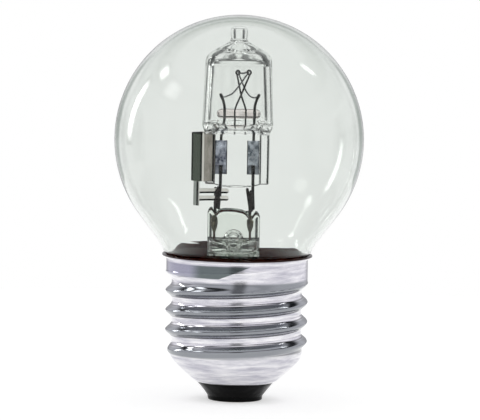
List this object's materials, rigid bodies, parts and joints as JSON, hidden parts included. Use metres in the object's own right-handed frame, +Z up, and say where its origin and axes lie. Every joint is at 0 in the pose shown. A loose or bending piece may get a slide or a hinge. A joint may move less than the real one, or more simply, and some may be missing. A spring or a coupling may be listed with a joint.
{
  "type": "globe bulb",
  "caption": "Clear golf-ball globe bulb with a sealed inner halogen capsule on a glass stem, a folded spring clip and a metal screw cap with a black glass insulator.",
  "frame": {"origin": "on the lamp's axis at the underside of its centre contact, the lowest plane of the screw cap", "axes": "+Z up along the lamp's axis from the contact to the top of the globe, -Y towards the side that shows the flat of the pinch seal, +X to the right of it"},
  "size_m": [0.0456, 0.0456, 0.0708],
  "materials": {
    "clear_glass": "clear blown glass with a faint grey-green body",
    "stem_glass": "clear lead-free stem glass",
    "quartz_glass": "clear fused quartz",
    "bead_glass": "clear glass rod with a pinkish cast",
    "seal_metal": "copper-clad seal wire, browned by the flame",
    "nickel_wire": "nickel wire, slightly oxidised",
    "copper_wire": "bare copper wire",
    "molybdenum_foil": "thin mottled blue-grey foil",
    "molybdenum_wire": "drawn molybdenum wire",
    "tungsten_wire": "fine dark tungsten wire",
    "tungsten_coil": "coiled tungsten, dark grey",
    "spring_sheet": "thin nickel-plated spring sheet",
    "aluminium_sheet": "bright rolled aluminium",
    "cap_cement": "hard dark brown basing cement",
    "black_glass": "glossy black glass insulator",
    "contact_brass": "plain contact plate",
    "solder": "dull solder"
  },
  "bodies": {
    "root": {"outer_bulb": "clear_glass", "stem": "stem_glass", "exhaust_tube": "stem_glass", "seal_wire_left": "seal_metal", "seal_wire_right": "seal_metal", "stem_lead_left": "nickel_wire", "stem_lead_right": "nickel_wire", "tail_lead_contact": "copper_wire", "tail_lead_shell": "copper_wire", "capsule": "quartz_glass", "foil_left": "molybdenum_foil", "foil_right": "molybdenum_foil", "capsule_pin_left": "molybdenum_wire", "capsule_pin_right": "molybdenum_wire", "filament_post_left": "molybdenum_wire", "filament_post_right": "molybdenum_wire", "filament_support_left": "tungsten_wire", "filament_support_right": "tungsten_wire", "filament_bead": "bead_glass", "filament": "tungsten_coil", "support_clip": "spring_sheet", "cap_shell": "aluminium_sheet", "cap_cement": "cap_cement", "cap_insulator": "black_glass", "centre_contact": "contact_brass", "contact_solder": "solder"}
  },
  "joints": []
}
